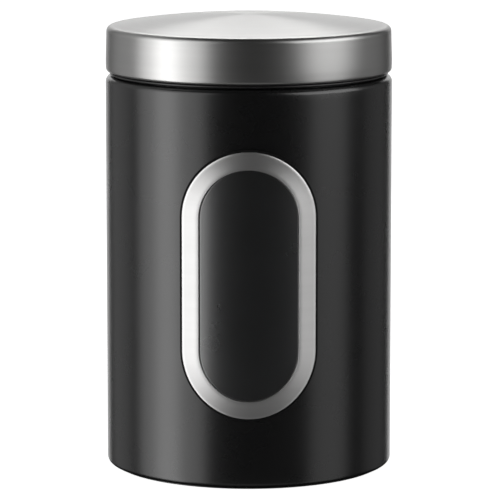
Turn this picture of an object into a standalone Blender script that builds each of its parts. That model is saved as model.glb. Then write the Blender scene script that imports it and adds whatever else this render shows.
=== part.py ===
"""A coffee canister: a powder-coated steel body with a clear window in its front, and a steel lid with a
sealing plug that lifts off.

Everything is in metres with +Z up. The origin is the centre of the footprint, and the window faces -Y.
"""

import math

import bmesh
import bpy

# Clearances
FIT_GAP = 0.0003
PLUG_PLAY = 0.0007
LID_GAP = 0.0004

# How finely round shapes are cut. END_STEPS is odd, so that a whole step lies at the window's top.
TURN_STEPS = 60
END_STEPS = 13
ROUND_STEPS = 3
DOME_STEPS = 4
PANE_STEPS = 4
MERGE_DISTANCE = 0.000001

# Body shell
BODY_RADIUS = 0.055
SHOULDER_TOP = 0.1512
SHELL_WALL = 0.0005
SHOULDER_ROUND = 0.0019
SHOULDER_LEDGE = 0.0017
HEEL_ROUND = 0.0022
HEEL_LEDGE = 0.0038

# Foot ring
FOOT_PAD = 0.0004
FOOT_WEB = 0.0011
FOOT_PAD_WIDTH = 0.0047
FOOT_LIP_WIDTH = 0.0029
FOOT_LIP_HEIGHT = 0.0008

# Base plate
BASE_RIM_HEIGHT = 0.006
BASE_RIM_ROUND = 0.0015
BASE_STEP_INSET = 0.008
BASE_STEP_WIDTH = 0.002
BASE_PANEL_RISE = 0.0025

# Neck collar
COLLAR_WALL = 0.0015
COLLAR_RISE = 0.0111
BEAD_HEIGHT = 0.0006
BEAD_REACH = 0.00245
CATCH_REACH = 0.0012
CATCH_HEIGHT = 0.0007
CATCH_TAPER = 0.0016

# Window: widths are measured across the bezel's face, and the margins are what is left of the body's
# height above and below the gasket
WINDOW_TOP_MARGIN = 0.022
WINDOW_BOTTOM_MARGIN = 0.02655
WINDOW_OPENING_WIDTH = 0.0375
BEZEL_BAND = 0.00665
BEZEL_SHEET = 0.0005
BEZEL_RIM = 0.0003
BEZEL_ROUND = 0.0007
GASKET_THICKNESS = 0.0004
GASKET_SHOW = 0.00095
PANE_RECESS = 0.0006
PANE_WALL = 0.001
PANE_FLANGE = 0.0008
RETAINER_THICKNESS = 0.0008
TAB_PITCH = 0.016
TAB_WIDTH = 0.005
TAB_FOLD = 0.004
CUT_OVERRUN = 0.002

# Lid cap
LID_INSET = 0.00005
LID_HEADROOM = 0.00392
LID_DRAFT = 0.0003
LID_SHEET = 0.0005
LID_CORNER = 0.00264
LID_DOME_RISE = 0.00443
LID_HEM_ROUND = 0.0017
LID_HEM_WIDTH = 0.0008

# Lid insert
INSERT_WALL = 0.0012
RIB_DEPTH = 0.0016
RIB_HEIGHT = 0.001
RIB_DROP = 0.0022
GROOVE_HEIGHT = 0.006
PLUG_NOSE = 0.0032

# Lid seal
SEAL_WALL = 0.0007
FIN_COUNT = 3
FIN_HEIGHT_SHARE = 0.6
FIN_EDGE_SHARE = 0.15

# Places and radii that follow from the sizes above
BODY_INSIDE = BODY_RADIUS - SHELL_WALL
NECK_RADIUS = BODY_RADIUS - SHOULDER_ROUND - SHOULDER_LEDGE
HEEL_RADIUS = BODY_RADIUS - HEEL_ROUND - HEEL_LEDGE
HEEL_BOTTOM = FOOT_PAD + FIT_GAP
HEEL_TOP = HEEL_BOTTOM + SHELL_WALL
FOOT_OUTSIDE = HEEL_RADIUS - FIT_GAP
FOOT_INSIDE = FOOT_OUTSIDE - FOOT_WEB
FOOT_LIP_TOP = HEEL_TOP + FIT_GAP + FOOT_LIP_HEIGHT
BASE_BOTTOM = FOOT_LIP_TOP + FIT_GAP
COLLAR_OUTSIDE = NECK_RADIUS - FIT_GAP
COLLAR_BORE = COLLAR_OUTSIDE - COLLAR_WALL
COLLAR_TOP = SHOULDER_TOP + COLLAR_RISE
BEAD_BOTTOM = SHOULDER_TOP + FIT_GAP
BEAD_TOP = BEAD_BOTTOM + BEAD_HEIGHT
LID_EDGE = BEAD_TOP + LID_GAP
LID_RADIUS = BODY_RADIUS - LID_INSET
LID_SHOULDER_RADIUS = LID_RADIUS - LID_DRAFT
INSERT_BOTTOM = COLLAR_TOP + FIT_GAP
INSERT_TOP = INSERT_BOTTOM + INSERT_WALL
PLUG_RADIUS = COLLAR_BORE - PLUG_PLAY
GROOVE_RADIUS = PLUG_RADIUS - RIB_DEPTH
GROOVE_TOP = INSERT_BOTTOM - RIB_DROP - RIB_HEIGHT
GROOVE_BOTTOM = GROOVE_TOP - GROOVE_HEIGHT
LID_SKIRT_TOP = INSERT_TOP + LID_HEADROOM

# Layers of the window, from the bezel's face in to the backs of its folded tabs
GASKET_FRONT = BODY_RADIUS + FIT_GAP + GASKET_THICKNESS
BEZEL_BACK = GASKET_FRONT + FIT_GAP
BEZEL_FACE = BEZEL_BACK + BEZEL_RIM + BEZEL_SHEET
PANE_FACE = BEZEL_FACE - PANE_RECESS
GASKET_BACK = BODY_INSIDE - FIT_GAP - GASKET_THICKNESS
PANE_SEAT = GASKET_BACK - FIT_GAP
PANE_BACK = PANE_SEAT - PANE_FLANGE
RETAINER_FRONT = PANE_BACK - FIT_GAP
RETAINER_BACK = RETAINER_FRONT - RETAINER_THICKNESS
TAB_FRONT = RETAINER_BACK - FIT_GAP
TAB_BACK = TAB_FRONT - BEZEL_SHEET

# Offsets of the window's outlines from the line that joins the centres of its round ends
OPENING_OFFSET = WINDOW_OPENING_WIDTH / 2
LIP_OFFSET = OPENING_OFFSET + BEZEL_SHEET
GASKET_INNER_OFFSET = LIP_OFFSET + FIT_GAP
GASKET_WEB_OFFSET = GASKET_INNER_OFFSET + GASKET_THICKNESS
HOLE_OFFSET = GASKET_WEB_OFFSET + FIT_GAP
BEZEL_OFFSET = OPENING_OFFSET + BEZEL_BAND
TAB_OFFSET = BEZEL_OFFSET - BEZEL_SHEET
CLAMPED_OFFSET = TAB_OFFSET - FIT_GAP
GASKET_OFFSET = BEZEL_OFFSET + GASKET_SHOW
PANE_OFFSET = OPENING_OFFSET - FIT_GAP
WINDOW_STRAIGHT = SHOULDER_TOP - WINDOW_TOP_MARGIN - WINDOW_BOTTOM_MARGIN - 2 * GASKET_OFFSET
WINDOW_CENTRE_HEIGHT = WINDOW_BOTTOM_MARGIN + GASKET_OFFSET + WINDOW_STRAIGHT / 2
END_STEP_TURN = math.pi / END_STEPS


def new_collection(name):
    """A collection of the scene."""
    collection = bpy.data.collections.new(name)
    bpy.context.scene.collection.children.link(collection)
    return collection


def new_material(name, colour, roughness, metallic=0.0, alpha=1.0):
    """A Principled BSDF material in one plain colour."""
    material = bpy.data.materials.new(name)
    material.use_nodes = True
    shader = material.node_tree.nodes["Principled BSDF"]
    shader.inputs["Base Color"].default_value = (*colour, 1.0)
    shader.inputs["Roughness"].default_value = roughness
    shader.inputs["Metallic"].default_value = metallic
    shader.inputs["Alpha"].default_value = alpha
    material.diffuse_color = (*colour, alpha)
    return material


def new_object(name, mesh, collection, material=None):
    """An object that holds the mesh. One without a material is a cutter."""
    piece = bpy.data.objects.new(name, mesh)
    collection.objects.link(piece)
    if material:
        mesh.materials.append(material)
    else:
        piece.hide_render = True
        piece.display_type = "WIRE"
    return piece


def arc(centre, radius, start, end, steps=ROUND_STEPS):
    """Points of an arc in the plane of a turned outline, from one angle to another, in degrees."""
    turns = [math.radians(start + (end - start) * step / steps) for step in range(steps + 1)]
    return [(centre[0] + radius * math.cos(turn), centre[1] + radius * math.sin(turn)) for turn in turns]


def turned(name, outline, collection, material):
    """A turned piece. Its outline of (radius, height) points runs down its outer side, and is closed
    unless it starts and ends on the axis."""
    edges = [(index, index + 1) for index in range(len(outline) - 1)]
    if outline[0][0] > 0:
        edges.append((len(outline) - 1, 0))
    mesh = bpy.data.meshes.new(name)
    mesh.from_pydata([(radius, 0, height) for radius, height in outline], edges, [])
    piece = new_object(name, mesh, collection, material)
    screw = piece.modifiers.new("turn", "SCREW")
    screw.steps = TURN_STEPS
    screw.render_steps = TURN_STEPS
    screw.use_merge_vertices = True
    screw.merge_threshold = MERGE_DISTANCE
    return piece


def cut(piece, cutter):
    """Takes the cutter's shape out of the piece."""
    boolean = piece.modifiers.new(cutter.name, "BOOLEAN")
    boolean.operation = "DIFFERENCE"
    boolean.object = cutter


def extrude_ring(bm, ring, rise):
    """Extrudes a ring of edges along the window's straight side and gives back the new ring."""
    made = bmesh.ops.extrude_edge_only(bm, edges=ring)["geom"]
    moved = [item for item in made if isinstance(item, bmesh.types.BMVert)]
    bmesh.ops.translate(bm, verts=moved, vec=(0, 0, rise))
    return [item for item in made if isinstance(item, bmesh.types.BMEdge)]


def spin_ring(bm, ring, centre_height):
    """Spins a ring of edges half a turn round one end of the window and gives back the last ring."""
    corners = list({vert for edge in ring for vert in edge.verts})
    made = bmesh.ops.spin(
        bm,
        geom=corners + ring,
        cent=(0, 0, centre_height),
        axis=(0, -1, 0),
        angle=math.pi,
        steps=END_STEPS,
    )["geom_last"]
    return [item for item in made if isinstance(item, bmesh.types.BMEdge)]


def sweep_round_window(section, rises=(WINDOW_STRAIGHT,)):
    """A flat frame: a section of (offset, radius) points swept up the window's right side, over its top,
    down its left side and round its bottom. A section that starts and ends at offset zero fills the frame.
    The rises are the steps up the straight side."""
    bm = bmesh.new()
    half = WINDOW_STRAIGHT / 2
    corners = [bm.verts.new((offset, -radius, -half)) for offset, radius in section]
    ring = [bm.edges.new(pair) for pair in zip(corners, corners[1:])]
    if section[0][0] > 0:
        ring.append(bm.edges.new((corners[-1], corners[0])))
    for rise in rises:
        ring = extrude_ring(bm, ring, rise)
    ring = spin_ring(bm, ring, half)
    for rise in reversed(rises):
        ring = extrude_ring(bm, ring, -rise)
    spin_ring(bm, ring, -half)
    bmesh.ops.remove_doubles(bm, verts=bm.verts, dist=MERGE_DISTANCE)
    bmesh.ops.recalc_face_normals(bm, faces=bm.faces)
    return bm


def wrap_round_body(bm, name):
    """Bends a flat frame round the body, so that it has its widths across the bezel's face, and gives back
    its mesh."""
    for vert in bm.verts:
        turn = math.asin(vert.co.x / BEZEL_FACE)
        radius = -vert.co.y
        vert.co.x = radius * math.sin(turn)
        vert.co.y = -radius * math.cos(turn)
        vert.co.z += WINDOW_CENTRE_HEIGHT
    mesh = bpy.data.meshes.new(name)
    bm.to_mesh(mesh)
    bm.free()
    mesh.shade_smooth()
    mesh.set_sharp_from_angle(angle=math.radians(30))
    return mesh


def tab_heights():
    """The lowest and highest point of each tab on the window's straight side, from its middle. The tabs
    are spread evenly, about a pitch apart."""
    count = int(WINDOW_STRAIGHT / TAB_PITCH)
    centres = [WINDOW_STRAIGHT * ((index + 0.5) / count - 0.5) for index in range(count)]
    return [(centre - TAB_WIDTH / 2, centre + TAB_WIDTH / 2) for centre in centres]


def make_body_shell(collection, cutters, material):
    """The steel tube, necked in at the shoulder and turned in at the heel, with the window's hole and the
    slots for the bezel's tabs."""
    shoulder = (BODY_RADIUS - SHOULDER_ROUND, SHOULDER_TOP - SHOULDER_ROUND)
    heel = (BODY_RADIUS - HEEL_ROUND, HEEL_BOTTOM + HEEL_ROUND)
    outline = [(NECK_RADIUS, SHOULDER_TOP - SHELL_WALL), (NECK_RADIUS, SHOULDER_TOP)]
    outline += arc(shoulder, SHOULDER_ROUND, 90, 0)
    outline += arc(heel, HEEL_ROUND, 0, -90)
    outline += [(HEEL_RADIUS, HEEL_BOTTOM), (HEEL_RADIUS, HEEL_TOP)]
    outline += arc(heel, HEEL_ROUND - SHELL_WALL, -90, 0)
    outline += arc(shoulder, SHOULDER_ROUND - SHELL_WALL, 0, 90)
    shell = turned("body_shell", outline, collection, material)

    front = BODY_RADIUS + CUT_OVERRUN
    back = BODY_INSIDE - CUT_OVERRUN
    section = [(0, front), (HOLE_OFFSET, front), (HOLE_OFFSET, back), (0, back)]
    hole = wrap_round_body(sweep_round_window(section), "window_hole")
    cut(shell, new_object("window_hole", hole, cutters))
    cut(shell, cutters.objects["tab_slots"])


def make_tab_slots(cutters):
    """The cutter for the slots that the bezel's tabs pass through, in the shell and the gasket. It stops
    halfway across the gaps on either side of them."""
    front = GASKET_FRONT + FIT_GAP / 2
    back = BODY_INSIDE - FIT_GAP / 2
    middle = (TAB_OFFSET + BEZEL_OFFSET) / 2
    end_middle = WINDOW_STRAIGHT / 2 + middle * math.cos(END_STEP_TURN / 2)
    end_width = 2 * BEZEL_OFFSET * math.sin(END_STEP_TURN / 2)
    slot = BEZEL_SHEET + 2 * FIT_GAP
    places = [(side * middle, (low + high) / 2, slot, high - low + 2 * FIT_GAP)
              for side in (-1, 1) for low, high in tab_heights()]
    places += [(0, end * end_middle, end_width + 2 * FIT_GAP, slot) for end in (-1, 1)]
    bm = bmesh.new()
    for across, up, width, height in places:
        corners = bmesh.ops.create_cube(bm, size=1)["verts"]
        bmesh.ops.scale(bm, verts=corners, vec=(width, front - back, height))
        bmesh.ops.translate(bm, verts=corners, vec=(across, -(front + back) / 2, up))
    new_object("tab_slots", wrap_round_body(bm, "tab_slots"), cutters)


def make_foot_ring(collection, material):
    """The plastic ring that the canister stands on. It hooks over the edge of the shell's heel."""
    pad_radius = FOOT_INSIDE + FOOT_PAD_WIDTH
    chamfer = FOOT_PAD / 2
    lip_radius = FOOT_INSIDE + FOOT_LIP_WIDTH
    outline = [
        (FOOT_INSIDE, FOOT_LIP_TOP),
        (lip_radius, FOOT_LIP_TOP),
        (lip_radius, HEEL_TOP + FIT_GAP),
        (FOOT_OUTSIDE, HEEL_TOP + FIT_GAP),
        (FOOT_OUTSIDE, FOOT_PAD),
        (pad_radius, FOOT_PAD),
        (pad_radius, chamfer),
        (pad_radius - chamfer, 0),
        (FOOT_INSIDE, 0),
    ]
    turned("foot_ring", outline, collection, material)


def make_base_plate(collection, material):
    """The pressed steel bottom: a rim pushed up inside the tube and a panel raised by a slanted step."""
    outside = BODY_INSIDE - FIT_GAP
    step_foot = outside - BASE_STEP_INSET
    step_top = step_foot - BASE_STEP_WIDTH
    panel_bottom = BASE_BOTTOM + BASE_PANEL_RISE
    rim_top = BASE_BOTTOM + BASE_RIM_HEIGHT
    bend = (outside - BASE_RIM_ROUND, BASE_BOTTOM + BASE_RIM_ROUND)
    outline = [(0, panel_bottom + SHELL_WALL), (step_top, panel_bottom + SHELL_WALL)]
    outline += [(step_foot, BASE_BOTTOM + SHELL_WALL)]
    outline += arc(bend, BASE_RIM_ROUND - SHELL_WALL, -90, 0)
    outline += [(outside - SHELL_WALL, rim_top), (outside, rim_top)]
    outline += arc(bend, BASE_RIM_ROUND, 0, -90)
    outline += [(step_foot, BASE_BOTTOM), (step_top, panel_bottom), (0, panel_bottom)]
    turned("base_plate", outline, collection, material)


def make_neck_collar(collection, material):
    """The plastic collar in the neck: a wall that the lid goes over, a bead that rests on the shoulder, and
    a catch that snaps under it."""
    catch_top = SHOULDER_TOP - SHELL_WALL - FIT_GAP
    catch_bottom = catch_top - CATCH_HEIGHT
    bottom = catch_bottom - CATCH_TAPER
    catch_radius = COLLAR_OUTSIDE + CATCH_REACH
    bead_round = BEAD_HEIGHT / 2
    bead_centre = (COLLAR_OUTSIDE + BEAD_REACH - bead_round, BEAD_BOTTOM + bead_round)
    chamfer = COLLAR_WALL / 3
    outline = [(COLLAR_BORE, COLLAR_TOP - chamfer), (COLLAR_BORE + chamfer, COLLAR_TOP)]
    outline += [(COLLAR_OUTSIDE - chamfer, COLLAR_TOP), (COLLAR_OUTSIDE, COLLAR_TOP - chamfer)]
    outline += [(COLLAR_OUTSIDE, BEAD_TOP)]
    outline += arc(bead_centre, bead_round, 90, -90)
    outline += [(COLLAR_OUTSIDE, BEAD_BOTTOM), (COLLAR_OUTSIDE, catch_top)]
    outline += [(catch_radius, catch_top), (catch_radius, catch_bottom)]
    outline += [(COLLAR_OUTSIDE, bottom), (COLLAR_BORE, bottom)]
    turned("neck_collar", outline, collection, material)


def make_window_gasket(collection, cutters, material):
    """The rubber gasket: a U-shaped strip over the edge of the window's hole. Its outer leg shows round
    the bezel, and its inner leg seals the pane."""
    shell_front = BODY_RADIUS + FIT_GAP
    shell_back = BODY_INSIDE - FIT_GAP
    section = [
        (GASKET_INNER_OFFSET, GASKET_FRONT),
        (GASKET_OFFSET, GASKET_FRONT),
        (GASKET_OFFSET, shell_front),
        (GASKET_WEB_OFFSET, shell_front),
        (GASKET_WEB_OFFSET, shell_back),
        (CLAMPED_OFFSET, shell_back),
        (CLAMPED_OFFSET, GASKET_BACK),
        (GASKET_INNER_OFFSET, GASKET_BACK),
    ]
    mesh = wrap_round_body(sweep_round_window(section), "window_gasket")
    gasket = new_object("window_gasket", mesh, collection, material)
    cut(gasket, cutters.objects["tab_slots"])


def tab_roots(bm):
    """The faces under the bezel's turned-down rim where its tabs start, with the way in to the window's
    middle from each."""
    half = WINDOW_STRAIGHT / 2
    roots = []
    for face in bm.faces:
        centre = face.calc_center_median()
        if face.normal.y < 0.9 or abs(centre.y + BEZEL_BACK) > MERGE_DISTANCE:
            continue
        beside = any(low < centre.z < high for low, high in tab_heights())
        if abs(centre.z) < half and beside and abs(centre.x) > TAB_OFFSET:
            roots.append((face, (-math.copysign(1, centre.x), 0, 0)))
        elif abs(centre.z) > half and abs(centre.x) < MERGE_DISTANCE:
            roots.append((face, (0, 0, -math.copysign(1, centre.z))))
    return roots


def pull(bm, face, step):
    """Extrudes one face by a step and gives back the face at its end."""
    made = bmesh.ops.extrude_face_region(bm, geom=[face])["geom"]
    moved = [item for item in made if isinstance(item, bmesh.types.BMVert)]
    bmesh.ops.translate(bm, verts=moved, vec=step)
    bmesh.ops.delete(bm, geom=[face], context="FACES_ONLY")
    return next(item for item in made if isinstance(item, bmesh.types.BMFace))


def make_window_bezel(collection, material):
    """The stainless bezel: a pressed ring with a rounded rim and an inner lip. Tabs on its rim pass through
    the wall and fold in behind the retainer."""
    lip_end = PANE_SEAT + FIT_GAP
    underside = BEZEL_FACE - BEZEL_SHEET
    section = arc((LIP_OFFSET, underside), BEZEL_SHEET, 180, 90, 2)
    section += arc((BEZEL_OFFSET - BEZEL_ROUND, BEZEL_FACE - BEZEL_ROUND), BEZEL_ROUND, 90, 0)
    section += [(BEZEL_OFFSET, BEZEL_BACK), (TAB_OFFSET, BEZEL_BACK), (TAB_OFFSET, underside)]
    section += [(LIP_OFFSET, underside), (LIP_OFFSET, lip_end), (OPENING_OFFSET, lip_end)]

    half = WINDOW_STRAIGHT / 2
    stops = [-half, *[height for tab in tab_heights() for height in tab], half]
    rises = [high - low for low, high in zip(stops, stops[1:])]
    bm = sweep_round_window(section, rises)
    for root, inward in tab_roots(bm):
        fold_root = pull(bm, root, (0, BEZEL_BACK - TAB_FRONT, 0))
        tip = pull(bm, fold_root, (0, TAB_FRONT - TAB_BACK, 0))
        sides = {face for edge in tip.edges for face in edge.link_faces if face != tip}
        inner_side = max(sides, key=lambda face: face.normal.dot(inward))
        pull(bm, inner_side, [TAB_FOLD * part for part in inward])
    mesh = wrap_round_body(bm, "window_bezel")
    new_object("window_bezel", mesh, collection, material)


def make_window_pane(collection, material):
    """The clear pane: a curved face that stands forward inside the bezel, and a flange behind the wall."""
    wall_offset = PANE_OFFSET - PANE_WALL
    chamfer = PANE_WALL / 2
    front_offset = PANE_OFFSET - chamfer
    hollow = PANE_FACE - PANE_WALL
    section = [(front_offset * step / PANE_STEPS, PANE_FACE) for step in range(PANE_STEPS + 1)]
    section += [(PANE_OFFSET, PANE_FACE - chamfer), (PANE_OFFSET, PANE_SEAT)]
    section += [(CLAMPED_OFFSET, PANE_SEAT), (CLAMPED_OFFSET, PANE_BACK), (wall_offset, PANE_BACK)]
    section += [(wall_offset * step / PANE_STEPS, hollow) for step in range(PANE_STEPS, -1, -1)]
    mesh = wrap_round_body(sweep_round_window(section), "window_pane")
    new_object("window_pane", mesh, collection, material)


def make_window_retainer(collection, material):
    """The plastic frame behind the pane's flange, which the bezel's folded tabs hold."""
    section = [
        (GASKET_INNER_OFFSET, RETAINER_FRONT),
        (CLAMPED_OFFSET, RETAINER_FRONT),
        (CLAMPED_OFFSET, RETAINER_BACK),
        (GASKET_INNER_OFFSET, RETAINER_BACK),
    ]
    mesh = wrap_round_body(sweep_round_window(section), "window_retainer")
    new_object("window_retainer", mesh, collection, material)


def dome_arcs(inset):
    """The lid's dome and corner, from the middle out and down, this far inside its outer face. The dome is
    part of a sphere, and the corner is tangent to it and to the skirt."""
    sphere = (LID_SHOULDER_RADIUS ** 2 + LID_DOME_RISE ** 2) / (2 * LID_DOME_RISE)
    corner_across = LID_SHOULDER_RADIUS - LID_CORNER
    corner_up = math.sqrt((sphere - LID_CORNER) ** 2 - corner_across ** 2)
    sphere_centre = (0, LID_SKIRT_TOP - corner_up)
    joint = math.degrees(math.atan2(corner_up, corner_across))
    dome = arc(sphere_centre, sphere - inset, 90, joint, DOME_STEPS)
    dome[0] = (0, dome[0][1])
    return dome + arc((corner_across, LID_SKIRT_TOP), LID_CORNER - inset, joint, 0)[1:]


def make_lid_cap(collection, material):
    """The steel lid: a low dome, a skirt with a slight draft, and a hem turned in under the insert."""
    hem_centre = (LID_RADIUS - LID_HEM_ROUND, LID_EDGE + LID_HEM_ROUND)
    hem_inside = hem_centre[0] - LID_HEM_WIDTH
    outline = dome_arcs(0)
    outline += arc(hem_centre, LID_HEM_ROUND, 0, -90)
    outline += [(hem_inside, LID_EDGE), (hem_inside, LID_EDGE + LID_SHEET)]
    outline += arc(hem_centre, LID_HEM_ROUND - LID_SHEET, -90, 0)
    outline += reversed(dome_arcs(LID_SHEET))
    turned("lid_cap", outline, collection, material)


def make_lid_insert(collection, material):
    """The plastic insert: a disc that sits on the collar, a skirt held by the cap's hem, and a plug wall
    with two ribs that hold the seal between them."""
    skirt_outside = LID_SHOULDER_RADIUS - LID_SHEET - FIT_GAP
    skirt_inside = skirt_outside - INSERT_WALL
    skirt_bottom = LID_EDGE + LID_SHEET + FIT_GAP
    skirt_chamfer = min(LID_HEM_ROUND - LID_SHEET, INSERT_WALL / 2)
    plug_bottom = GROOVE_BOTTOM - RIB_HEIGHT - PLUG_NOSE
    plug_inside = GROOVE_RADIUS - INSERT_WALL
    nose_chamfer = INSERT_WALL / 2
    outline = [
        (0, INSERT_TOP),
        (skirt_outside, INSERT_TOP),
        (skirt_outside, skirt_bottom + skirt_chamfer),
        (skirt_outside - skirt_chamfer, skirt_bottom),
        (skirt_inside, skirt_bottom),
        (skirt_inside, INSERT_BOTTOM),
        (GROOVE_RADIUS, INSERT_BOTTOM),
        (GROOVE_RADIUS, GROOVE_TOP + RIB_HEIGHT),
        (PLUG_RADIUS, GROOVE_TOP + RIB_HEIGHT),
        (PLUG_RADIUS, GROOVE_TOP),
        (GROOVE_RADIUS, GROOVE_TOP),
        (GROOVE_RADIUS, GROOVE_BOTTOM),
        (PLUG_RADIUS, GROOVE_BOTTOM),
        (PLUG_RADIUS, GROOVE_BOTTOM - RIB_HEIGHT),
        (GROOVE_RADIUS, GROOVE_BOTTOM - RIB_HEIGHT),
        (GROOVE_RADIUS, plug_bottom + nose_chamfer),
        (GROOVE_RADIUS - nose_chamfer, plug_bottom),
        (plug_inside, plug_bottom),
        (plug_inside, INSERT_BOTTOM),
        (0, INSERT_BOTTOM),
    ]
    turned("lid_insert", outline, collection, material)


def make_lid_seal(collection, material):
    """The silicone seal between the plug's ribs. Its fins taper on their undersides, to lead into the
    collar's bore."""
    inside = GROOVE_RADIUS + FIT_GAP
    outside = inside + SEAL_WALL
    tip = COLLAR_BORE - FIT_GAP
    top = GROOVE_TOP - FIT_GAP
    bottom = GROOVE_BOTTOM + FIT_GAP
    pitch = (top - bottom) / FIN_COUNT
    outline = [(inside, top)]
    for fin in range(FIN_COUNT):
        fin_top = top - fin * pitch
        outline += [(outside, fin_top), (tip, fin_top - pitch * FIN_EDGE_SHARE)]
        outline += [(outside, fin_top - pitch * FIN_HEIGHT_SHARE)]
    outline += [(outside, bottom), (inside, bottom)]
    turned("lid_seal", outline, collection, material)


def main():
    """Builds the canister in an empty scene."""
    for leftover in list(bpy.data.objects):
        bpy.data.objects.remove(leftover)
    canister = new_collection("coffee_canister")
    cutters = new_collection("cutters")

    coat = new_material("black_powder_coat", (0.016, 0.016, 0.017), 0.42)
    steel = new_material("brushed_steel", (0.62, 0.61, 0.6), 0.28, metallic=1.0)
    plastic = new_material("black_plastic", (0.02, 0.02, 0.021), 0.5)
    rubber = new_material("black_rubber", (0.012, 0.012, 0.013), 0.7)
    silicone = new_material("clear_silicone", (0.7, 0.7, 0.69), 0.45)
    acrylic = new_material("smoked_acrylic", (0.08, 0.085, 0.09), 0.05, alpha=0.35)

    make_tab_slots(cutters)
    make_body_shell(canister, cutters, coat)
    make_base_plate(canister, coat)
    make_foot_ring(canister, plastic)
    make_neck_collar(canister, plastic)
    make_window_gasket(canister, cutters, rubber)
    make_window_bezel(canister, steel)
    make_window_pane(canister, acrylic)
    make_window_retainer(canister, plastic)
    make_lid_cap(canister, steel)
    make_lid_insert(canister, plastic)
    make_lid_seal(canister, silicone)


main()
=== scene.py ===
import math

import bmesh
import bpy
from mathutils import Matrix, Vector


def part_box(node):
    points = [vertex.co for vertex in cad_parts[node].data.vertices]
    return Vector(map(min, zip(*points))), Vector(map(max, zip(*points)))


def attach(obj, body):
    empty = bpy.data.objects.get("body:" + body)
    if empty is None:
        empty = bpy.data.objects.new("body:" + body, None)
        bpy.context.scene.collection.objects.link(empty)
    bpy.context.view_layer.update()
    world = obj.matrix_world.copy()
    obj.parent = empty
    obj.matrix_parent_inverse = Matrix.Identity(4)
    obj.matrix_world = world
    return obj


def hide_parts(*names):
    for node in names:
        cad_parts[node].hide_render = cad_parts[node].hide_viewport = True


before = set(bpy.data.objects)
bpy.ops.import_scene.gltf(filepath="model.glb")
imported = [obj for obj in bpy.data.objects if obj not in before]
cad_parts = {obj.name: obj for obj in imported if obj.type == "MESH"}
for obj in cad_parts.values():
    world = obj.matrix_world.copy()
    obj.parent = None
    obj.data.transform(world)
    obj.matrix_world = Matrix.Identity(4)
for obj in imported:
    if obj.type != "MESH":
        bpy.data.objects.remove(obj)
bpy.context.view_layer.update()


# The body shell is a tube of half-millimetre steel sheet, welded down its back, necked in at the shoulder and
# turned in at the heel, with the window punched out of its front. It is powder-coated satin black all over.
shell_low, shell_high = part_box("body_shell")
body_radius = shell_high.x
shoulder_top = shell_high.z
heel_bottom = shell_low.z
sheet = 0.0005
touch_gap = 0.0003
shoulder_round = 0.0023
neck_step = 0.0036
neck_radius = body_radius - neck_step
heel_round = 0.0019
heel_turn_in = 0.006
heel_radius = body_radius - heel_turn_in
wall_row = 0.0025
turn_steps = 256
merge_distance = 0.000001
sharp_angle = math.radians(30)

window_centre = 0.077875
window_straight = 0.04995
window_face = 0.0568
hole_offset = 0.02025
end_steps = 104
hole_overrun = 0.002


def arc(centre, radius, start, end, steps=8):
    """Points of an arc in the plane of a turned outline, from one angle to another, in degrees."""
    turns = [math.radians(start + (end - start) * step / steps) for step in range(steps + 1)]
    return [(centre[0] + radius * math.cos(turn), centre[1] + radius * math.sin(turn)) for turn in turns]


def finished_piece(name, bm, recalculate=True):
    """An object made of the modelled shape, smooth but for its sharp edges."""
    if recalculate:
        bmesh.ops.remove_doubles(bm, verts=bm.verts, dist=merge_distance)
        bmesh.ops.recalc_face_normals(bm, faces=bm.faces)
    mesh = bpy.data.meshes.new(name)
    bm.to_mesh(mesh)
    bm.free()
    mesh.shade_smooth()
    mesh.set_sharp_from_angle(angle=sharp_angle)
    piece = bpy.data.objects.new(name, mesh)
    bpy.context.scene.collection.objects.link(piece)
    return piece


def turned(name, outline, longest=1.0):
    """A piece spun round the canister's axis from an outline of (radius, height) points, which is closed
    unless it starts and ends on the axis. Edges past the longest length are cut into equal rows."""
    bm = bmesh.new()
    corners = [bm.verts.new((radius, 0, height)) for radius, height in outline]
    for pair in zip(corners, corners[1:]):
        bm.edges.new(pair)
    if outline[0][0] > 0:
        bm.edges.new((corners[-1], corners[0]))
    for edge in [edge for edge in bm.edges if edge.calc_length() > longest]:
        bmesh.ops.subdivide_edges(bm, edges=[edge], cuts=int(edge.calc_length() / longest))
    bmesh.ops.spin(
        bm, geom=[*bm.verts, *bm.edges], cent=(0, 0, 0), axis=(0, 0, 1), angle=2 * math.pi,
        steps=turn_steps, use_merge=True,
    )
    return finished_piece(name, bm)


def run_up_side(bm, ring, rise):
    """Extrudes a ring of edges along the window's straight side and gives back the new ring."""
    made = bmesh.ops.extrude_edge_only(bm, edges=ring)["geom"]
    moved = [item for item in made if isinstance(item, bmesh.types.BMVert)]
    bmesh.ops.translate(bm, verts=moved, vec=(0, 0, rise))
    return [item for item in made if isinstance(item, bmesh.types.BMEdge)]


def run_round_end(bm, ring, centre_height):
    """Spins a ring of edges half a turn round one end of the window and gives back the last ring."""
    corners = list({vert for edge in ring for vert in edge.verts})
    made = bmesh.ops.spin(
        bm, geom=corners + ring, cent=(0, 0, centre_height), axis=(0, -1, 0), angle=math.pi, steps=end_steps,
    )["geom_last"]
    return [item for item in made if isinstance(item, bmesh.types.BMEdge)]


def swept_round_window(section, rises=(window_straight,)):
    """A flat frame: a section of (offset, radius) points swept up the window's right side, over its top,
    down its left side and round its bottom. A section that starts and ends at offset zero fills it."""
    bm = bmesh.new()
    half = window_straight / 2
    corners = [bm.verts.new((offset, -radius, -half)) for offset, radius in section]
    ring = [bm.edges.new(pair) for pair in zip(corners, corners[1:])]
    if section[0][0] > 0:
        ring.append(bm.edges.new((corners[-1], corners[0])))
    for rise in rises:
        ring = run_up_side(bm, ring, rise)
    ring = run_round_end(bm, ring, half)
    for rise in reversed(rises):
        ring = run_up_side(bm, ring, -rise)
    run_round_end(bm, ring, -half)
    bmesh.ops.remove_doubles(bm, verts=bm.verts, dist=merge_distance)
    bmesh.ops.recalc_face_normals(bm, faces=bm.faces)
    return bm


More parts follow.
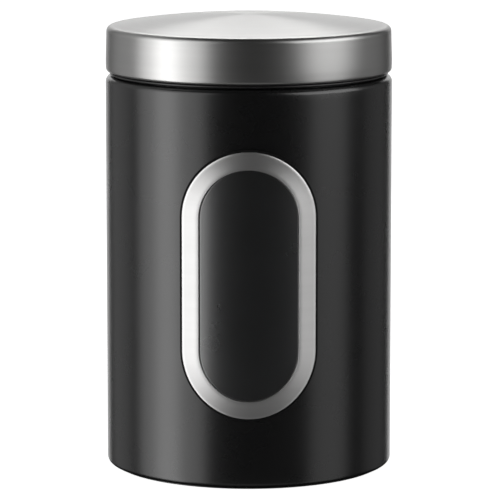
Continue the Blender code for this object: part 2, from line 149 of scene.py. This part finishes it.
def wrapped(name, bm):
    """A flat piece bent round the body, so that it has its widths across the bezel's face."""
    for vert in bm.verts:
        turn = math.asin(vert.co.x / window_face)
        radius = -vert.co.y
        vert.co = (radius * math.sin(turn), -radius * math.cos(turn), vert.co.z + window_centre)
    return finished_piece(name, bm, recalculate=False)


def cut_out(piece, cutter):
    """Takes the cutter's shape out of the piece, and removes the cutter."""
    boolean = piece.modifiers.new("cut", "BOOLEAN")
    boolean.operation = "DIFFERENCE"
    boolean.object = cutter
    evaluated = piece.evaluated_get(bpy.context.evaluated_depsgraph_get())
    mesh = bpy.data.meshes.new_from_object(evaluated)
    piece.modifiers.clear()
    piece.data = mesh
    mesh.shade_smooth()
    mesh.set_sharp_from_angle(angle=sharp_angle)
    bpy.data.objects.remove(cutter)


shoulder = (body_radius - shoulder_round, shoulder_top - shoulder_round)
heel = (body_radius - heel_round, heel_bottom + heel_round)
shell_outline = [(neck_radius, shoulder_top - sheet), (neck_radius, shoulder_top)]
shell_outline += arc(shoulder, shoulder_round, 90, 0)
shell_outline += arc(heel, heel_round, 0, -90)
shell_outline += [(heel_radius, heel_bottom), (heel_radius, heel_bottom + sheet)]
shell_outline += arc(heel, heel_round - sheet, -90, 0)
shell_outline += arc(shoulder, shoulder_round - sheet, 0, 90)
body_shell = turned("shell", shell_outline, wall_row)

hole_front = body_radius + hole_overrun
hole_back = body_radius - sheet - hole_overrun
hole_section = [(0, hole_front), (hole_offset, hole_front), (hole_offset, hole_back), (0, hole_back)]
cut_out(body_shell, wrapped("hole", swept_round_window(hole_section)))

# The slots beside the hole let the bezel's tabs through the wall.
tab_pitch = 0.016
tab_width = 0.005
bezel_offset = 0.0254
tab_middle = bezel_offset - sheet / 2
tab_count = int(window_straight / tab_pitch)
tab_centres = [window_straight * ((index + 0.5) / tab_count - 0.5) for index in range(tab_count)]
end_tab_turn = math.radians(13.85)
end_tab_width = 2 * bezel_offset * math.sin(end_tab_turn / 2)
end_tab_height = window_straight / 2 + tab_middle * math.cos(end_tab_turn / 2)
slot_overrun = 0.00085
slot_front = body_radius + slot_overrun
slot_back = body_radius - sheet - touch_gap / 2


def tab_slots():
    """A cutter for the slots of the bezel's tabs: three beside each straight side and one at each end."""
    slot = sheet + 2 * touch_gap
    places = [(side * tab_middle, centre, slot, tab_width + 2 * touch_gap)
              for side in (-1, 1) for centre in tab_centres]
    places += [(0, end * end_tab_height, end_tab_width + 2 * touch_gap, slot) for end in (-1, 1)]
    bm = bmesh.new()
    for across, up, width, height in places:
        corners = bmesh.ops.create_cube(bm, size=1)["verts"]
        bmesh.ops.scale(bm, verts=corners, vec=(width, slot_front - slot_back, height))
        bmesh.ops.translate(bm, verts=corners, vec=(across, -(slot_front + slot_back) / 2, up))
    return wrapped("slots", bm)


cut_out(body_shell, tab_slots())


def add_node(tree, kind, inputs=None, **settings):
    """A node of a shader tree, with its settings, and its inputs set to values or linked to sockets."""
    made = tree.nodes.new("ShaderNode" + kind)
    for name, value in settings.items():
        setattr(made, name, value)
    for name, value in (inputs or {}).items():
        if isinstance(value, bpy.types.NodeSocket):
            tree.links.new(value, made.inputs[name])
        else:
            made.inputs[name].default_value = value
    return made


def new_effect(name, sizes, results):
    """An empty shader group that takes a position and named sizes and puts out named masks."""
    group = bpy.data.node_groups.new(name, "ShaderNodeTree")
    group.interface.new_socket("Position", in_out="INPUT", socket_type="NodeSocketVector")
    for size in sizes:
        group.interface.new_socket(size, in_out="INPUT", socket_type="NodeSocketFloat")
    for result in results:
        group.interface.new_socket(result, in_out="OUTPUT", socket_type="NodeSocketFloat")
    return group, group.nodes.new("NodeGroupInput").outputs, group.nodes.new("NodeGroupOutput").inputs


def place_effect(tree, group, inputs):
    """Puts an effect into a material's tree and gives back its outputs."""
    return add_node(tree, "Group", inputs, node_tree=group).outputs


def new_finish(name, **constants):
    """A material's tree, its Principled shader with plain values set, and its object coordinates."""
    material = bpy.data.materials.new(name)
    material.use_nodes = True
    tree = material.node_tree
    shader = tree.nodes["Principled BSDF"]
    for key, value in constants.items():
        shader.inputs[key.replace("_", " ").title().replace("Ior", "IOR")].default_value = value
    return material, tree, shader, tree.nodes.new("ShaderNodeTexCoord").outputs["Object"]


def shade_range(tree, mask, low, high):
    """A colour or a number between two, by a mask."""
    if isinstance(low, tuple):
        mix = add_node(tree, "Mix", {0: mask, 6: (*low, 1), 7: (*high, 1)}, data_type="RGBA")
        return mix.outputs[2]
    return add_node(tree, "MapRange", {"Value": mask, "To Min": low, "To Max": high}).outputs["Result"]


# Fine grain: the pebbled skin of a powder coat or of a mould, and soft blotches from handling.
grain_effect, grain_in, grain_out = new_effect("fine_grain", ["Grains per metre"], ["Grain", "Blotch"])
grain_noise = add_node(grain_effect, "TexNoise", {
    "Vector": grain_in["Position"], "Scale": grain_in["Grains per metre"], "Detail": 3, "Roughness": 0.6,
})
blotch_noise = add_node(grain_effect, "TexNoise", {
    "Vector": grain_in["Position"], "Scale": 38, "Detail": 4, "Roughness": 0.55,
})
grain_effect.links.new(grain_noise.outputs[0], grain_out["Grain"])
grain_effect.links.new(blotch_noise.outputs[0], grain_out["Blotch"])

coat, tree, shader, place = new_finish("black_powder_coat", ior=1.8)
grain = place_effect(tree, grain_effect, {"Position": place, "Grains per metre": 2600})
colour = shade_range(tree, grain["Grain"], (0.0035, 0.0035, 0.0037), (0.007, 0.007, 0.0073))
tree.links.new(colour, shader.inputs["Base Color"])
tree.links.new(shade_range(tree, grain["Blotch"], 0.25, 0.3), shader.inputs["Roughness"])
seam_half_width = 0.0011
seam_behind = 0.05
seam_relief = 12
seam_across = add_node(tree, "SeparateXYZ", {0: place})
seam_side = add_node(tree, "Math", {0: seam_across.outputs["X"]}, operation="ABSOLUTE").outputs[0]
seam_line = add_node(tree, "MapRange", {
    "Value": seam_side, "From Max": seam_half_width, "To Min": 1.0, "To Max": 0.0,
}, interpolation_type="SMOOTHSTEP").outputs[0]
behind = add_node(tree, "Math", {
    0: seam_across.outputs["Y"], 1: seam_behind,
}, operation="GREATER_THAN").outputs[0]
seam = add_node(tree, "Math", {0: seam_line, 1: behind}, operation="MULTIPLY").outputs[0]
relief = add_node(tree, "Math", {
    0: seam, 1: seam_relief, 2: grain["Grain"],
}, operation="MULTIPLY_ADD").outputs[0]
bump = add_node(tree, "Bump", {"Height": relief, "Distance": 0.000012})
tree.links.new(bump.outputs[0], shader.inputs["Normal"])

body_shell.data.materials.append(coat)
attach(body_shell, "canister")
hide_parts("body_shell")


# The base plate is pressed from the same coated sheet: a rim pushed up inside the tube, and a raised panel
# with a slanted step round it, which stiffens it.
base_low, base_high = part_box("base_plate")
base_radius = base_high.x
rim_round = 0.0015
step_inset = 0.008
step_slant = 0.002
panel_rise = 0.0025
step_foot = base_radius - step_inset
step_top = step_foot - step_slant
panel_bottom = base_low.z + panel_rise
base_bend = (base_radius - rim_round, base_low.z + rim_round)
base_outline = [(0, panel_bottom + sheet), (step_top, panel_bottom + sheet), (step_foot, base_low.z + sheet)]
base_outline += arc(base_bend, rim_round - sheet, -90, 0)
base_outline += [(base_radius - sheet, base_high.z), (base_radius, base_high.z)]
base_outline += arc(base_bend, rim_round, 0, -90)
base_outline += [(step_foot, base_low.z), (step_top, panel_bottom), (0, panel_bottom)]
base_plate = turned("bottom_plate", base_outline)
base_plate.data.materials.append(coat)
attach(base_plate, "canister")
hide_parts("base_plate")


# The foot ring is moulded from black plastic. Its lip hooks over the edge of the shell's heel, and the
# canister stands on its flat pad.
foot_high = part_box("foot_ring")[1]
foot_outside = foot_high.x
foot_flange = 0.0011
foot_pad = 0.0004
foot_lip_width = 0.0029
foot_inside = heel_radius - touch_gap - foot_flange
foot_lip = foot_inside + foot_lip_width
foot_chamfer = foot_pad / 2
over_heel = heel_bottom + sheet + touch_gap
foot_outline = [
    (foot_inside, foot_high.z),
    (foot_lip, foot_high.z),
    (foot_lip, over_heel),
    (heel_radius - touch_gap, over_heel),
    (heel_radius - touch_gap, foot_pad),
    (foot_outside, foot_pad),
    (foot_outside, foot_chamfer),
    (foot_outside - foot_chamfer, 0),
    (foot_inside, 0),
]
foot_ring = turned("foot", foot_outline)

plastic, tree, shader, place = new_finish("moulded_black_plastic", ior=1.6)
grain = place_effect(tree, grain_effect, {"Position": place, "Grains per metre": 1900})
colour = shade_range(tree, grain["Blotch"], (0.014, 0.014, 0.0145), (0.022, 0.022, 0.023))
tree.links.new(colour, shader.inputs["Base Color"])
tree.links.new(shade_range(tree, grain["Blotch"], 0.28, 0.38), shader.inputs["Roughness"])
bump = add_node(tree, "Bump", {"Height": grain["Grain"], "Distance": 0.000008})
tree.links.new(bump.outputs[0], shader.inputs["Normal"])
foot_ring.data.materials.append(plastic)
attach(foot_ring, "canister")
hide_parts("foot_ring")


# The neck collar is moulded from the same plastic. The lid goes over its wall, its bead rests on the shoulder
# and shows as a thin ridge under the lid, and its catch snaps in under the sheet.
collar_low, collar_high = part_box("neck_collar")
collar_outside = neck_radius - touch_gap
collar_wall = 0.0015
collar_bore = collar_outside - collar_wall
bead_height = 0.0011
bead_round = 0.00045
bead_bottom = shoulder_top + touch_gap
bead_centre = (collar_high.x - bead_round, bead_bottom + bead_height - bead_round)
catch_reach = 0.0012
catch_height = 0.0007
catch_radius = collar_outside + catch_reach
catch_top = shoulder_top - sheet - touch_gap
catch_bottom = catch_top - catch_height
collar_round = collar_wall / 3
collar_outline = arc((collar_bore + collar_round, collar_high.z - collar_round), collar_round, 180, 90, 4)
collar_outline += arc((collar_outside - collar_round, collar_high.z - collar_round), collar_round, 90, 0, 4)
collar_outline += [(collar_outside, bead_bottom + bead_height)]
collar_outline += arc(bead_centre, bead_round, 90, -50, 10)
collar_outline += [(bead_centre[0] - bead_round, bead_bottom)]
collar_outline += [(collar_outside, bead_bottom), (collar_outside, catch_top)]
collar_outline += [(catch_radius, catch_top), (catch_radius, catch_bottom)]
collar_outline += [(collar_outside, collar_low.z), (collar_bore, collar_low.z)]
neck_collar = turned("collar", collar_outline)
neck_collar.data.materials.append(plastic)
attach(neck_collar, "canister")
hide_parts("neck_collar")


# The window gasket is a U-shaped strip of black rubber over the edge of the window's hole. Its outer leg
# shows as a thin black line round the bezel, and its inner leg seals the pane.
gasket_thickness = 0.0004
gasket_web = hole_offset - touch_gap
gasket_inner = gasket_web - gasket_thickness
gasket_show = 0.00095
gasket_outer = bezel_offset + gasket_show
clamped_offset = bezel_offset - sheet - touch_gap
outer_leg_back = body_radius + touch_gap
outer_leg_front = outer_leg_back + gasket_thickness
inner_leg_front = body_radius - sheet - touch_gap
inner_leg_back = inner_leg_front - gasket_thickness
lip_round = gasket_thickness / 2
gasket_section = [(gasket_inner, outer_leg_front)]
gasket_section += arc((gasket_outer - lip_round, outer_leg_front - lip_round), lip_round, 90, -90, 6)
gasket_section += [(gasket_web, outer_leg_back), (gasket_web, inner_leg_front)]
gasket_section += [(clamped_offset, inner_leg_front), (clamped_offset, inner_leg_back)]
gasket_section += [(gasket_inner, inner_leg_back)]
gasket = wrapped("window_seal", swept_round_window(gasket_section))
cut_out(gasket, tab_slots())

rubber, tree, shader, place = new_finish("black_rubber", ior=1.36, specular_ior_level=0.25)
grain = place_effect(tree, grain_effect, {"Position": place, "Grains per metre": 3200})
colour = shade_range(tree, grain["Blotch"], (0.004, 0.004, 0.0042), (0.008, 0.008, 0.0084))
tree.links.new(colour, shader.inputs["Base Color"])
tree.links.new(shade_range(tree, grain["Grain"], 0.62, 0.8), shader.inputs["Roughness"])
bump = add_node(tree, "Bump", {"Height": grain["Grain"], "Distance": 0.000015})
tree.links.new(bump.outputs[0], shader.inputs["Normal"])
gasket.data.materials.append(rubber)
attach(gasket, "canister")
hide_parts("window_gasket")


# The window pane is moulded from slightly smoked acrylic, hollow at its back. Its face stands forward inside
# the bezel, and its flange is clamped behind the wall.
bezel_back = outer_leg_front + touch_gap
bezel_lip_offset = gasket_inner - touch_gap
opening_offset = bezel_lip_offset - sheet
pane_offset = opening_offset - touch_gap / 2
pane_recess = 0.0006
pane_face = window_face - pane_recess
pane_wall = 0.001
pane_edge = pane_wall / 5
pane_front = pane_offset - pane_edge
pane_hollow = pane_offset - pane_wall
pane_seat = inner_leg_back - touch_gap
pane_flange = 0.0008
pane_back = pane_seat - pane_flange
pane_steps = 36
pane_section = [(pane_front * step / pane_steps, pane_face) for step in range(pane_steps)]
pane_section += arc((pane_front, pane_face - pane_edge), pane_edge, 90, 0, 6)
pane_section += [(pane_offset, pane_seat), (clamped_offset, pane_seat), (clamped_offset, pane_back)]
pane_section += [(pane_hollow, pane_back)]
pane_section += [(pane_hollow * step / pane_steps, pane_face - pane_wall)
                 for step in range(pane_steps, -1, -1)]
pane = wrapped("pane", swept_round_window(pane_section))

acrylic, tree, shader, place = new_finish(
    "smoked_acrylic", ior=2.3, transmission_weight=1.0, coat_weight=1.0, coat_ior=2.3, coat_roughness=0.27,
)
grain = place_effect(tree, grain_effect, {"Position": place, "Grains per metre": 260})
colour = shade_range(tree, grain["Blotch"], (0.018, 0.02, 0.023), (0.026, 0.028, 0.032))
tree.links.new(colour, shader.inputs["Base Color"])
tree.links.new(shade_range(tree, grain["Blotch"], 0.26, 0.3), shader.inputs["Roughness"])
bump = add_node(tree, "Bump", {"Height": grain["Grain"], "Distance": 0.000004})
tree.links.new(bump.outputs[0], shader.inputs["Normal"])
pane.data.materials.append(acrylic)
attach(pane, "canister")
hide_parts("window_pane")


# The window retainer is a flat frame of black plastic, bent to the wall, that lies behind the pane's flange.
# The bezel's folded tabs hold it.
retainer_thickness = 0.0008
retainer_front = pane_back - touch_gap
retainer_back = retainer_front - retainer_thickness
retainer_section = [
    (gasket_inner, retainer_front),
    (clamped_offset, retainer_front),
    (clamped_offset, retainer_back),
    (gasket_inner, retainer_back),
]
retainer = wrapped("retainer", swept_round_window(retainer_section))
retainer.data.materials.append(plastic)
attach(retainer, "canister")
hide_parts("window_retainer")


# The window bezel is pressed from stainless sheet with a rounded rim and an inner lip, and brushed level.
# Eight tabs on its rim pass through the wall and are folded in behind the retainer.
tab_fold = 0.004
tab_front = retainer_back - touch_gap
tab_back = tab_front - sheet
bezel_underside = window_face - sheet
lip_end = pane_seat + touch_gap
rim_width = 0.0012
bezel_lip_round = 0.0002
face_fall = 0.0005
face_curve = 0.55
rim_fall = window_face - face_fall - bezel_back
face_start = opening_offset + bezel_lip_round
face_width = bezel_offset - rim_width - face_start
bezel_section = arc((face_start, window_face - bezel_lip_round), bezel_lip_round, 180, 90, 6)
for share in (0.25, 0.5, 0.75):
    fallen = face_fall * share * (1 + face_curve - face_curve * share)
    bezel_section += [(face_start + share * face_width, window_face - fallen)]
bezel_section += [(bezel_offset + rim_width * (across - 1), bezel_back + rim_fall * up)
                  for across, up in arc((0, 0), 1, 90, 0, 10)]
bezel_section += [(bezel_offset - sheet, bezel_back), (bezel_lip_offset, bezel_underside)]
bezel_section += [(bezel_lip_offset, lip_end), (opening_offset, lip_end)]
side_stops = [stop for centre in tab_centres for stop in (centre - tab_width / 2, centre + tab_width / 2)]
side_stops = [-window_straight / 2, *side_stops, window_straight / 2]
bezel_shape = swept_round_window(bezel_section, [top - low for low, top in zip(side_stops, side_stops[1:])])


def tab_roots(bm):
    """The patches of faces under the bezel's rim where its tabs start, each with the way in from it."""
    rim = [face for face in bm.faces if face.normal.y > 0.9
           and abs(face.calc_center_median().y + bezel_back) < merge_distance]
    roots = []
    for side in (-1, 1):
        for centre in tab_centres:
            patch = [face for face in rim if side * face.calc_center_median().x > tab_middle - sheet
                     and abs(face.calc_center_median().z - centre) < tab_width / 2]
            roots.append((patch, (-side, 0, 0)))
        patch = [face for face in rim if side * face.calc_center_median().z > window_straight / 2
                 and abs(face.calc_center_median().x) < end_tab_width / 2]
        roots.append((patch, (0, 0, -side)))
    return roots


def pull(bm, faces, step):
    """Extrudes a patch of faces by a step and gives back the faces at its end."""
    made = bmesh.ops.extrude_face_region(bm, geom=faces)["geom"]
    moved = [item for item in made if isinstance(item, bmesh.types.BMVert)]
    bmesh.ops.translate(bm, verts=moved, vec=step)
    bmesh.ops.delete(bm, geom=faces, context="FACES_ONLY")
    return [item for item in made if isinstance(item, bmesh.types.BMFace)]


for patch, inward in tab_roots(bezel_shape):
    fold_root = pull(bezel_shape, patch, (0, bezel_back - tab_front, 0))
    tip = pull(bezel_shape, fold_root, (0, tab_front - tab_back, 0))
    sides = {face for end in tip for edge in end.edges for face in edge.link_faces} - set(tip)
    inner_sides = [face for face in sides if face.normal.dot(inward) > 0.9]
    pull(bezel_shape, inner_sides, [tab_fold * part for part in inward])
bezel = wrapped("bezel", bezel_shape)

# Brushed lines: fine scratches, and broader bands where the belt or pad bit more, in stretched coordinates.
line_effect, line_in, line_out = new_effect("brushed_lines", [], ["Lines", "Bands"])
fine_lines = add_node(line_effect, "TexNoise", {"Vector": line_in["Position"], "Scale": 1, "Detail": 4,
                                                "Roughness": 0.65})
broad_bands = add_node(line_effect, "TexNoise", {"Vector": line_in["Position"], "Scale": 0.09, "Detail": 3})
line_effect.links.new(fine_lines.outputs[0], line_out["Lines"])
line_effect.links.new(broad_bands.outputs[0], line_out["Bands"])


def brush(tree, shader, stretched, grain_way, shades, roughness, relief):
    """Gives a steel finish its brushed lines, and its highlights their stretch across the grain."""
    lines = place_effect(tree, line_effect, {"Position": stretched})
    tree.links.new(shade_range(tree, lines["Bands"], *shades), shader.inputs["Base Color"])
    tree.links.new(shade_range(tree, lines["Lines"], *roughness), shader.inputs["Roughness"])
    bump = add_node(tree, "Bump", {"Height": lines["Lines"], "Distance": relief})
    tree.links.new(bump.outputs[0], shader.inputs["Normal"])
    tree.links.new(grain_way, shader.inputs["Tangent"])


bezel_lines_along = 60
bezel_lines_across = 5000
bezel_stretch = (bezel_lines_along, bezel_lines_along, bezel_lines_across)
bezel_steel, tree, shader, place = new_finish("bezel_steel", metallic=1.0, anisotropic=0.35)
level_lines = add_node(tree, "Mapping", {"Vector": place, "Scale": bezel_stretch}).outputs[0]
upwards = add_node(tree, "CombineXYZ", {"Z": 1}).outputs[0]
brush(tree, shader, level_lines, upwards, ((0.75, 0.745, 0.74), (0.81, 0.805, 0.8)), (0.42, 0.48), 0.0000015)
bezel.data.materials.append(bezel_steel)
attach(bezel, "canister")
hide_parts("window_bezel")


# The lid insert is moulded from black plastic. Its disc sits on the collar, its skirt is held by the cap's
# hem, and its plug goes into the neck with two ribs that hold the seal between them.
insert_low, insert_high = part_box("lid_insert")
cap_low, cap_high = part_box("lid_cap")
hem_lift = 0.0004
cap_edge = cap_low.z + hem_lift
insert_wall = 0.0012
insert_bottom = collar_high.z + touch_gap
insert_radius = insert_high.x
insert_skirt_inside = insert_radius - insert_wall
insert_skirt_bottom = cap_edge + sheet + touch_gap
insert_chamfer = insert_wall / 2
plug_gap = 0.0007
rib_reach = 0.0016
rib_height = 0.001
rib_depth = 0.0022
groove_height = 0.006
plug_radius = collar_bore - plug_gap
groove_radius = plug_radius - rib_reach
groove_top = insert_bottom - rib_depth - rib_height
groove_bottom = groove_top - groove_height
plug_inside = groove_radius - insert_wall
rib_round = rib_height / 4
insert_outline = [(0, insert_high.z), (insert_radius, insert_high.z)]
insert_outline += [(insert_radius, insert_skirt_bottom + insert_chamfer)]
insert_outline += [(insert_radius - insert_chamfer, insert_skirt_bottom)]
insert_outline += [(insert_skirt_inside, insert_skirt_bottom), (insert_skirt_inside, insert_bottom)]
insert_outline += [(groove_radius, insert_bottom), (groove_radius, groove_top + rib_height)]
for rib_bottom in (groove_top, groove_bottom - rib_height):
    rib_top = rib_bottom + rib_height
    insert_outline += [(groove_radius, rib_top)]
    insert_outline += arc((plug_radius - rib_round, rib_top - rib_round), rib_round, 90, 0, 3)
    insert_outline += arc((plug_radius - rib_round, rib_bottom + rib_round), rib_round, 0, -90, 3)
    insert_outline += [(groove_radius, rib_bottom)]
nose_centre = (groove_radius - insert_chamfer, insert_low.z + insert_chamfer)
insert_outline += arc(nose_centre, insert_chamfer, 0, -180, 8)
insert_outline += [(plug_inside, insert_bottom), (0, insert_bottom)]
lid_plug = turned("lid_plug", insert_outline, 0.004)
lid_plug.data.materials.append(plastic)
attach(lid_plug, "lid")
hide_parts("lid_insert")


# The lid seal is a ring of milky silicone in the plug's groove. Three fins press on the collar's bore, and
# their undersides taper to lead the lid in.
seal_inside = groove_radius + touch_gap
seal_wall = 0.0007
seal_outside = seal_inside + seal_wall
seal_tip = collar_bore - touch_gap
seal_top = groove_top - touch_gap
seal_bottom = groove_bottom + touch_gap
fin_count = 3
fin_pitch = (seal_top - seal_bottom) / fin_count
fin_edge_share = 0.15
fin_height_share = 0.6
seal_outline = [(seal_inside, seal_top)]
for fin in range(fin_count):
    fin_top = seal_top - fin * fin_pitch
    seal_outline += [(seal_outside, fin_top), (seal_tip, fin_top - fin_pitch * fin_edge_share)]
    seal_outline += [(seal_outside, fin_top - fin_pitch * fin_height_share)]
seal_outline += [(seal_outside, seal_bottom), (seal_inside, seal_bottom)]
seal = turned("seal", seal_outline)

silicone, tree, shader, place = new_finish("milky_silicone", ior=1.43)
grain = place_effect(tree, grain_effect, {"Position": place, "Grains per metre": 1500})
colour = shade_range(tree, grain["Blotch"], (0.56, 0.56, 0.55), (0.66, 0.66, 0.65))
tree.links.new(colour, shader.inputs["Base Color"])
tree.links.new(shade_range(tree, grain["Blotch"], 0.38, 0.5), shader.inputs["Roughness"])
bump = add_node(tree, "Bump", {"Height": grain["Grain"], "Distance": 0.000006})
tree.links.new(bump.outputs[0], shader.inputs["Normal"])
seal.data.materials.append(silicone)
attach(seal, "lid")
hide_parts("lid_seal")


# The lid cap is drawn from half-millimetre stainless sheet: a low dome, a small-radius corner and a skirt
# whose hem is rolled in under the insert. It is satin finished by spinning it under a pad, so its grain runs
# round it.
cap_radius = cap_high.x
cap_taper = 0.0003
cap_top_radius = cap_radius - cap_taper
cap_corner = 0.0022
dome_rise = 0.00443
hem_round = 0.0012
hem_width = 0.0008
dome_radius = (cap_top_radius ** 2 + dome_rise ** 2) / (2 * dome_rise)
corner_across = cap_top_radius - cap_corner
corner_up = math.sqrt((dome_radius - cap_corner) ** 2 - corner_across ** 2)
dome_end = math.degrees(math.atan2(corner_up, corner_across))
skirt_top = cap_high.z - dome_radius + corner_up


def cap_face(inset):
    """The dome and the corner of the cap, from the middle out and down, this far inside its outer face."""
    dome = arc((0, skirt_top - corner_up), dome_radius - inset, 90, dome_end, 28)
    dome[0] = (0, dome[0][1])
    return dome + arc((corner_across, skirt_top), cap_corner - inset, dome_end, 0, 14)[1:]


skirt_ease = 0.00006
hem_centre = (cap_radius - skirt_ease - hem_round, cap_edge + hem_round)
hem_inside = hem_centre[0] - hem_width
ease_height = 0.0033
ease_steps = 6
cap_outline = cap_face(0)
for step in range(ease_steps + 1):
    ease = step / ease_steps
    cap_outline += [(cap_radius - skirt_ease * ease ** 2, hem_centre[1] + ease_height * (1 - ease))]
cap_outline += arc(hem_centre, hem_round, 0, -90)[1:]
cap_outline += [(hem_inside, cap_edge), (hem_inside, cap_edge + sheet)]
cap_outline += arc(hem_centre, hem_round - sheet, -90, 0)
cap_outline += reversed(cap_face(sheet))
cap = turned("cap", cap_outline, 0.003)

lid_steel, tree, shader, place = new_finish(
    "spun_lid_steel", metallic=1.0, specular_tint=(0.6, 0.6, 0.6, 1),
)
lid_lines_along = 55
lid_lines_across = 5200
grain_lean = -0.05
skirt_grain_from = 0.0525
dome_grain_to = 0.0515
spun = add_node(tree, "SeparateXYZ", {0: place})
flat_place = add_node(tree, "VectorMath", {0: place, 1: (1, 1, 0)}, operation="MULTIPLY").outputs[0]
from_axis = add_node(tree, "VectorMath", {0: flat_place}, operation="LENGTH").outputs["Value"]
down_profile = add_node(tree, "Math", {0: from_axis, 1: spun.outputs["Z"]}, operation="SUBTRACT").outputs[0]
across_lines = add_node(tree, "Math", {
    0: down_profile, 1: lid_lines_across,
}, operation="MULTIPLY").outputs[0]
along_lines = add_node(tree, "VectorMath", {
    0: flat_place, 1: (lid_lines_along, lid_lines_along, 0),
}, operation="MULTIPLY").outputs[0]
line_rise = add_node(tree, "CombineXYZ", {"Z": across_lines}).outputs[0]
spun_lines = add_node(tree, "VectorMath", {0: along_lines, 1: line_rise}, operation="ADD").outputs[0]
down_face = add_node(tree, "VectorMath", {
    0: flat_place, 1: (0, 0, grain_lean),
}, operation="ADD").outputs[0]
brush(tree, shader, spun_lines, down_face, ((0.57, 0.567, 0.56), (0.63, 0.627, 0.62)), (0.33, 0.39), 0.000001)
on_dome = add_node(tree, "MapRange", {
    "Value": from_axis, "From Min": skirt_grain_from, "From Max": dome_grain_to,
}).outputs[0]
tree.links.new(shade_range(tree, on_dome, 0.3, 0.7), shader.inputs["Anisotropic"])
cap.data.materials.append(lid_steel)
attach(cap, "lid")
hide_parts("lid_cap")


# The canister stands on a plain white table that runs back to a white wall. Both show at full white, and the
# table keeps the canister's shadow. The table is hidden from glossy rays, so reflections show only the wall,
# and it casts no shadow, because some lamps reach below it.
bpy.context.scene.view_settings.view_transform = "Standard"


def white_surface(name, own_light):
    """A white material that glows at a set strength for what sees it, and takes light and shadow besides."""
    material = bpy.data.materials.new(name)
    material.use_nodes = True
    tree = material.node_tree
    shader = tree.nodes["Principled BSDF"]
    shader.inputs["Base Color"].default_value = (0.8, 0.8, 0.8, 1)
    shader.inputs["Roughness"].default_value = 0.9
    shader.inputs["Specular IOR Level"].default_value = 0.0
    shader.inputs["Emission Color"].default_value = (1, 1, 1, 1)
    path = tree.nodes.new("ShaderNodeLightPath").outputs
    seen = add_node(tree, "Math", {0: path["Is Camera Ray"], 1: path["Is Glossy Ray"]}, operation="ADD")
    seen = add_node(tree, "Math", {0: seen.outputs[0], 1: path["Is Transmission Ray"]}, operation="ADD",
                    use_clamp=True)
    glow = add_node(tree, "Math", {0: seen.outputs[0], 1: own_light}, operation="MULTIPLY")
    tree.links.new(glow.outputs[0], shader.inputs["Emission Strength"])
    return material


def flat_sheet(name, width, height, material):
    """A flat sheet in the ground plane, centred on the origin."""
    bm = bmesh.new()
    bmesh.ops.create_grid(bm, x_segments=1, y_segments=1, size=0.5)
    bmesh.ops.scale(bm, verts=bm.verts, vec=(width, height, 1))
    made = finished_piece(name, bm, recalculate=False)
    made.data.materials.append(material)
    return made


table_top = flat_sheet("table", 6, 6, white_surface("table_white", 0.93))
table_top.visible_glossy = False
table_top.visible_shadow = False
backdrop = flat_sheet("backdrop", 2.2, 2.2, white_surface("wall_white", 1.0))
backdrop.rotation_euler = (math.radians(90), 0, 0)
backdrop.location = (0, 2.3, 0.45)

world = bpy.data.worlds.new("studio")
bpy.context.scene.world = world
world.use_nodes = True
air = world.node_tree
path = air.nodes.new("ShaderNodeLightPath").outputs["Is Camera Ray"]
level = add_node(air, "MapRange", {"Value": path, "To Min": 0.006, "To Max": 1.0}).outputs["Result"]
air.links.new(level, air.nodes["Background"].inputs["Strength"])
air.nodes["Background"].inputs["Color"].default_value = (1, 1, 1, 1)


def softbox(name, azimuth, elevation, distance, width, height, brightness):
    """A rectangular lamp that faces the canister, at an angle to the right of the camera's side."""
    lamp = bpy.data.lights.new(name, "AREA")
    lamp.shape = "RECTANGLE"
    lamp.size = width
    lamp.size_y = height
    lamp.energy = brightness * math.pi * width * height
    holder = bpy.data.objects.new(name, lamp)
    bpy.context.scene.collection.objects.link(holder)
    turn = math.radians(azimuth)
    lift = math.radians(elevation)
    holder.location = (
        distance * math.cos(lift) * math.sin(turn),
        -distance * math.cos(lift) * math.cos(turn),
        distance * math.sin(lift) + 0.1,
    )
    holder.rotation_euler = (math.radians(90) - lift, 0, turn)
    holder.visible_camera = False


# Each lamp's angle to the right, angle of height, distance, width, height and brightness.
lamps = {
    "left_softbox": (-68, -12, 1.5, 0.55, 2.2, 1.25),
    "left_veil": (-66, 5, 1.5, 1.85, 2.5, 1.06),
    "left_bounce": (-125, 17, 1.5, 1.0, 2.7, 0.32),
    "right_softbox": (67, -14, 1.5, 0.9, 1.9, 0.46),
    "right_veil": (69, 25, 1.5, 1.6, 1.1, 1.7),
    "right_bounce": (122, 0, 1.5, 0.95, 1.4, 0.165),
    "high_back": (180, 38, 2.0, 0.9, 0.56, 4.3),
    "front_floor": (0, -42, 1.5, 1.8, 0.95, 0.15),
}
for lamp_name, setting in lamps.items():
    softbox(lamp_name, *setting)

# The camera looks down a little on the canister from straight in front, through a long lens.
camera = bpy.data.objects.new("camera", bpy.data.cameras.new("camera"))
bpy.context.scene.collection.objects.link(camera)
camera.data.sensor_width = 36
camera.data.lens = 263
camera.data.clip_end = 20
camera.location = (0.00044, -1.3966, 0.30404)
camera.rotation_euler = (math.radians(81), 0, 0)
bpy.context.scene.camera = camera
